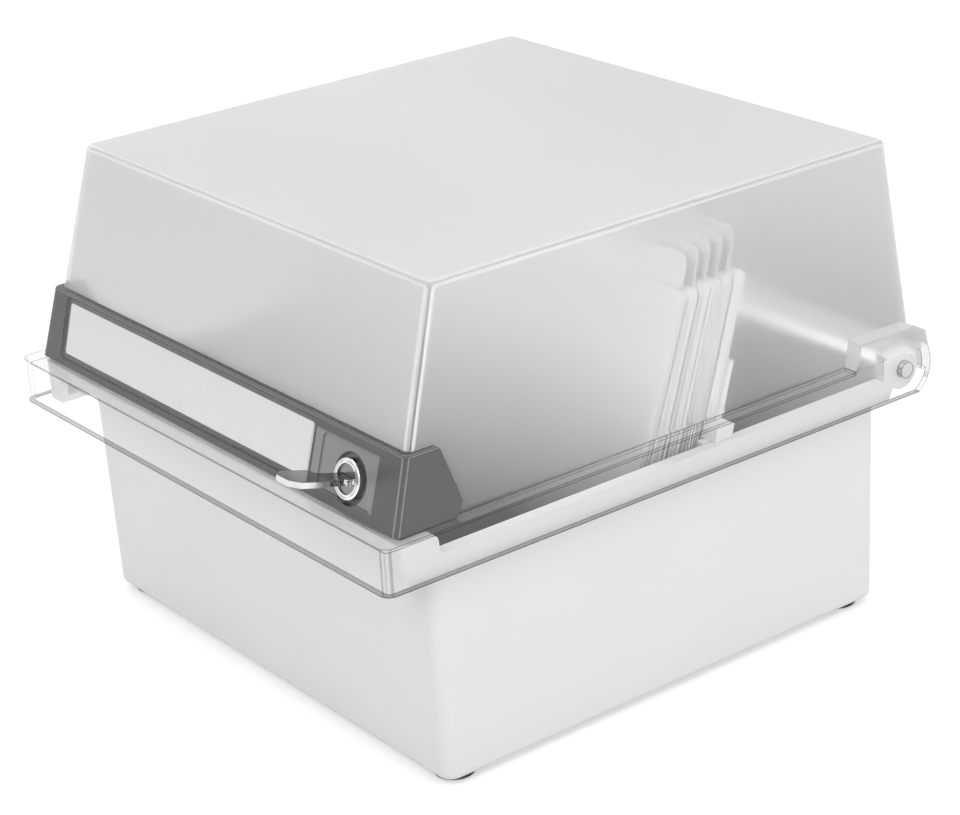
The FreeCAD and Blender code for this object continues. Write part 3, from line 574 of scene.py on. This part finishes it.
class Lid:
    """The lid's plastic: a frosted dome that turns milky towards its top, over a clear glossy skirt."""

    def __init__(self):
        n = new_nodes("frosted_lid")
        self.n = n
        self.height = n.axis("Z")
        self.directions = n.directions()
        self.straight = n.largest(*self.directions)
        self.upright = n.rise(self.directions[1], FACE)
        self.milky = milky_plastic(n)
        # A grey surface for painted shade: the line in the dome's bends and the lower back wall
        self.painted_shade = n.body(Base_Color=PAINTED_SHADE_COLOUR, Roughness=LINE_ROUGHNESS)

    def haze(self):
        """How milky the dome is: most at its top and on its ends, and less along its edges."""
        n = self.n
        side = n.remap(self.height, *HAZE_Z, *SIDE_HAZE)
        top = n.rise(self.directions[2], FACE, TOP_HAZE)
        end = n.times(self.upright, n.remap(n.axis("Y"), *END_HAZE_Y, *END_HAZE))
        haze = n.calculate("ADD", side, n.largest(top, end))
        edge = n.fall(self.straight, DOME_EDGE, EDGE_CLEARNESS)
        return n.times(haze, n.uneven(HAZE_SCALE, *HAZE_SPREAD), n.calculate("SUBTRACT", 1.0, edge))

    def dome(self):
        """Satin glass under the haze, with painted highlight and shade lines along its bends."""
        n = self.n
        glass = n.body(Base_Color=FROST_COLOUR, Transmission_Weight=1.0, IOR=FROST_IOR,
                       Roughness=n.remap(self.height, *DOME_Z, *FROST_ROUGHNESS),
                       Normal=n.relief(*FROST_RELIEF))
        frosted = n.mix(self.haze(), glass, self.milky)
        # Painted highlight and painted shade lines along the dome's bends
        painted_highlight = n.body(Base_Color=GLINT_COLOUR, Roughness=LINE_ROUGHNESS)
        glint = n.times(n.between(self.straight, *DOME_GLINT, BEND_STEP),
                        n.remap(self.directions[2], *GLINT_FACE, *GLINT_SHARE))
        frosted = n.mix(glint, frosted, painted_highlight)
        return n.mix(n.fall(self.straight, DOME_BEND, BEND_SHADE_SHARE), frosted, self.painted_shade)

    def skirt(self):
        """Clear, with a painted shade line at its lower end and a faint haze on its shelf."""
        n = self.n
        # Painted shade line at the skirt's lower end
        sheet = clear_sheet(n, *SKIRT_SHEET, n.fall(self.height, LOW_EDGE_Z, LOW_EDGE_SHADE))
        shelf = n.times(n.rise(self.directions[2], SHELF_FACE, SHELF_HAZE),
                        n.rise(self.height, SHELF_START_Z))
        return n.mix(shelf, sheet, self.milky)

    def material(self):
        """The whole lid, with painted shade low down at its back, and a light shadow."""
        n = self.n
        on_dome = n.rise(self.height, DOME_START_Z)
        body = n.mix(on_dome, self.skirt(), self.dome())
        # Painted shade low down on the back wall
        back = n.times(n.rise(n.axis("Y"), BACK_Y), self.upright)
        low = n.fall(self.height, BACK_SHADE_Z, BACK_SHADE)
        body = n.mix(n.times(back, low), body, self.painted_shade)
        cast = n.add("ShaderNodeBsdfTransparent", Color=n.ramp(on_dome, *CAST_TINTS)).outputs["BSDF"]
        shadow = n.add("ShaderNodeLightPath").outputs["Is Shadow Ray"]
        return n.surface(n.mix(shadow, body, cast))


def floor_material():
    """A white floor that keeps the object's soft shadow."""
    n = new_nodes("floor")
    both = n.add("ShaderNodeAddShader")
    glow = n.rise(n.seen(), (0.0, 1.0), FLOOR_GLOW)
    n.feed(both.inputs[0], n.add("ShaderNodeBsdfDiffuse", Color=FLOOR_COLOUR).outputs["BSDF"])
    n.feed(both.inputs[1], n.add("ShaderNodeEmission", Color=LIGHT_COLOUR, Strength=glow).outputs["Emission"])
    return n.surface(both.outputs["Shader"])


def floor():
    mesh = bpy.data.meshes.new("floor")
    half = FLOOR_HALF
    corners = [(-half, -half, 0), (half, -half, 0), (half, half, 0), (-half, half, 0)]
    mesh.from_pydata(corners, [], [(0, 1, 2, 3)])
    made = bpy.data.objects.new("floor", mesh)
    made.data.materials.append(floor_material())
    bpy.context.scene.collection.objects.link(made)


def world():
    """Even white surroundings, which also are the background."""
    n = Nodes(bpy.data.worlds.new("world"))
    strength = n.remap(n.seen(), 0.0, 1.0, SKY_LIGHT, SKY_SEEN)
    sky = n.add("ShaderNodeBackground", Color=LIGHT_COLOUR, Strength=strength)
    bpy.context.scene.world = n.surface(sky.outputs["Background"])


def lamp(name, place, target, size, power):
    data = bpy.data.lights.new(name, "AREA")
    data.shape = "DISK"
    data.size = size
    data.energy = power
    made = bpy.data.objects.new(name, data)
    bpy.context.scene.collection.objects.link(made)
    made.location = place
    direction = Vector(target) - Vector(place)
    made.rotation_euler = direction.to_track_quat("-Z", "Y").to_euler()


def numbered(stem, count):
    return [stem + str(i + 1) for i in range(count)]


def paint(name, material):
    """Gives a CAD node its one material."""
    node = frame["nodes"][name]
    node.data.materials.clear()
    node.data.materials.append(material)
    for face in node.data.polygons:
        face.material_index = 0


def round_edges(name, width):
    """Rounds a CAD node's sharp edges a little, so that they catch the light."""
    node = frame["nodes"][name]
    bevel = node.modifiers.new("edge_round", "BEVEL")
    bevel.width = width
    bevel.segments = EDGE_ROUND_STEPS
    bevel.limit_method = "ANGLE"
    bevel.angle_limit = math.radians(EDGE_ROUND_ANGLE)
    bevel.harden_normals = False


def card_outline(x0, x1, top):
    """A card's corners in its own plane: across and up, with its two upper corners rounded."""
    c = CARD_CORNER
    cut = c * CORNER_CUT
    return [(x1, 0), (x1, top - c), (x1 - cut, top - cut), (x1 - c, top),
            (x0 + c, top), (x0 + cut, top - cut), (x0, top - c), (x0, 0)]


def sheet_prism(shape, corners, origin, lean, y0, thickness):
    """Adds one sheet that stands on its lower edge and leans back."""
    front = []
    behind = []
    for x, h in corners:
        y = y0 + h * math.sin(lean)
        z = origin.z + h * math.cos(lean)
        front.append(shape.verts.new((x, y, z)))
        behind.append(shape.verts.new((x, y + thickness, z)))
    shape.faces.new(front)
    shape.faces.new(behind[::-1])
    count = len(corners)
    for i in range(count):
        j = (i + 1) % count
        shape.faces.new((front[j], front[i], behind[i], behind[j]))


def card_pack(name, material):
    """A pack of separate cards, a little uneven at their ends and tops."""
    low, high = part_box(name)
    lean = math.acos((high.z - low.z) / CARD_HEIGHT)
    depth = high.y - low.y - CARD_HEIGHT * math.sin(lean)
    pitch = depth / SHEETS_IN_PACK
    shape = bmesh.new()
    for i in range(SHEETS_IN_PACK):
        side = random.uniform(-SHEET_SIDE_JITTER, SHEET_SIDE_JITTER)
        x0 = low.x + SHEET_SIDE_JITTER + side
        x1 = high.x - SHEET_SIDE_JITTER + side
        top = CARD_HEIGHT - random.uniform(0, SHEET_TOP_JITTER)
        thickness = pitch * min(SHEET_FILL * random.uniform(*SHEET_SPREAD), SHEET_MOST_FILL)
        sheet_prism(shape, card_outline(x0, x1, top), low, lean, low.y + pitch * i, thickness)
    mesh = bpy.data.meshes.new(name + "_sheets")
    bmesh.ops.recalc_face_normals(shape, faces=shape.faces)
    shape.to_mesh(mesh)
    shape.free()
    made = bpy.data.objects.new(name + "_sheets", mesh)
    made.data.materials.append(material)
    bpy.context.scene.collection.objects.link(made)
    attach(made, name)
    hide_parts(name)


bpy.context.scene.view_settings.view_transform = "Standard"
camera()
world()
floor()
for name, settings in LAMPS.items():
    lamp(name, *settings)

materials = {
    "trough_plastic": trough_plastic(),
    "strip_plastic": strip_plastic(),
    "key_steel": milled_key(),
    "card_paper": paper("card_paper", *CARD_PAPER, depth_shade, DEPTH_COLOUR),
    "divider_card": paper("divider_card", *DIVIDER_CARD, nook_shade, NOOK_COLOUR),
    "label_paper": paper("label_paper", *LABEL_PAPER),
    "clear_cover": clear_cover(),
    "frosted_lid": Lid().material(),
}
for name, values in MOULDED.items():
    materials[name] = moulded_plastic(name, *values)
for name, values in PLATED.items():
    materials[name] = metal(name, *values)

PAINT = {
    "trough_plastic": ["trough"],
    "white_plastic": ["support_plate", "slider_left", "slider_right"],
    "pale_plastic": ["hinge_pin_left", "hinge_pin_right"] + numbered("strip_clip_", CLIPS),
    "dark_plastic": ["lock_cup"],
    "dark_rubber": ["foot_front_left", "foot_front_right", "foot_back_left", "foot_back_right"],
    "strip_plastic": ["lock_strip"],
    "chrome": ["lock_body"],
    "plug_steel": ["lock_plug"],
    "plated_steel": ["lock_nut", "lock_cam", "cam_washer", "cam_screw", "lock_catch"]
                    + numbered("catch_screw_", CATCH_SCREWS),
    "key_steel": ["key"],
    "divider_card": numbered("divider_", DIVIDERS),
    "label_paper": ["label_card"],
    "clear_cover": ["label_cover"],
    "frosted_lid": ["lid_shell"],
}
for look, names in PAINT.items():
    for name in names:
        paint(name, materials[look])
for name in ("trough", "support_plate", "lock_strip", "lid_shell"):
    round_edges(name, EDGE_ROUND)
for name in ("key", "lock_cup", "label_cover"):
    round_edges(name, FINE_EDGE_ROUND)
for name in numbered("card_pack_", PACKS):
    card_pack(name, materials["card_paper"])
